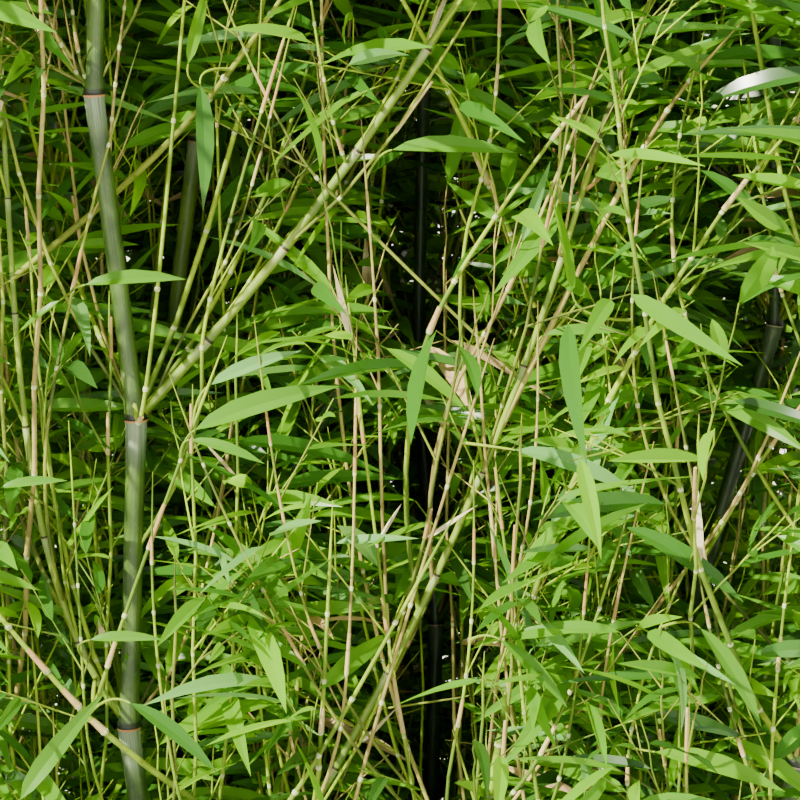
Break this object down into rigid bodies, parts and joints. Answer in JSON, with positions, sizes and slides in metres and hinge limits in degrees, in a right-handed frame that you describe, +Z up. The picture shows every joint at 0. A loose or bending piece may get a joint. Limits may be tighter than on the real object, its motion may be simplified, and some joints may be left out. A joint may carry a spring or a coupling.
{
  "type": "potted bamboo",
  "caption": "Clump of zigzag-caned bamboo with arching, leafy culms, standing in a plain round terracotta pot of soil.",
  "frame": {"origin": "middle of the pot's flat underside, which stands on the ground", "axes": "+Z up; -Y towards the side that the picture was taken from; +X to the right seen from there"},
  "size_m": [1.3371, 1.3086, 2.4793],
  "materials": {
    "terracotta": "matte",
    "soil": "matte",
    "culm": "satin",
    "branch": "satin",
    "foliage": "satin"
  },
  "bodies": {
    "root": {"pot": "terracotta", "soil": "soil", "culm_01": "culm", "culm_02": "culm", "culm_03": "culm", "culm_04": "culm", "culm_05": "culm", "culm_06": "culm", "culm_07": "culm", "culm_08": "culm", "culm_09": "culm", "culm_10": "culm", "culm_11": "culm", "culm_12": "culm", "branch_01_4": "branch", "branch_01_5": "branch", "branch_01_6": "branch", "branch_04_5": "branch", "branch_05_4": "branch", "branch_07_5": "branch", "branch_08_5": "branch", "branch_11_5": "branch", "crown_01": "foliage", "crown_02": "foliage", "crown_03": "foliage", "crown_04": "foliage", "crown_05": "foliage", "crown_06": "foliage", "crown_07": "foliage", "crown_08": "foliage", "crown_09": "foliage", "crown_10": "foliage", "crown_11": "foliage", "crown_12": "foliage", "spray_01_4": "foliage", "spray_01_5": "foliage", "spray_01_6": "foliage", "spray_04_5": "foliage", "spray_05_4": "foliage", "spray_07_5": "foliage", "spray_08_5": "foliage", "spray_11_5": "foliage", "shoot_01_3": "foliage", "shoot_01_8": "foliage", "shoot_02_6": "foliage", "shoot_02_7": "foliage", "shoot_03_5": "foliage", "shoot_03_7": "foliage", "shoot_04_4": "foliage", "shoot_04_6": "foliage", "shoot_05_6": "foliage", "shoot_06_4": "foliage", "shoot_06_6": "foliage", "shoot_07_3": "foliage", "shoot_08_3": "foliage", "shoot_09_6": "foliage", "shoot_10_3": "foliage", "shoot_11_3": "foliage", "shoot_12_4": "foliage", "shoot_12_6": "foliage"}
  },
  "joints": []
}
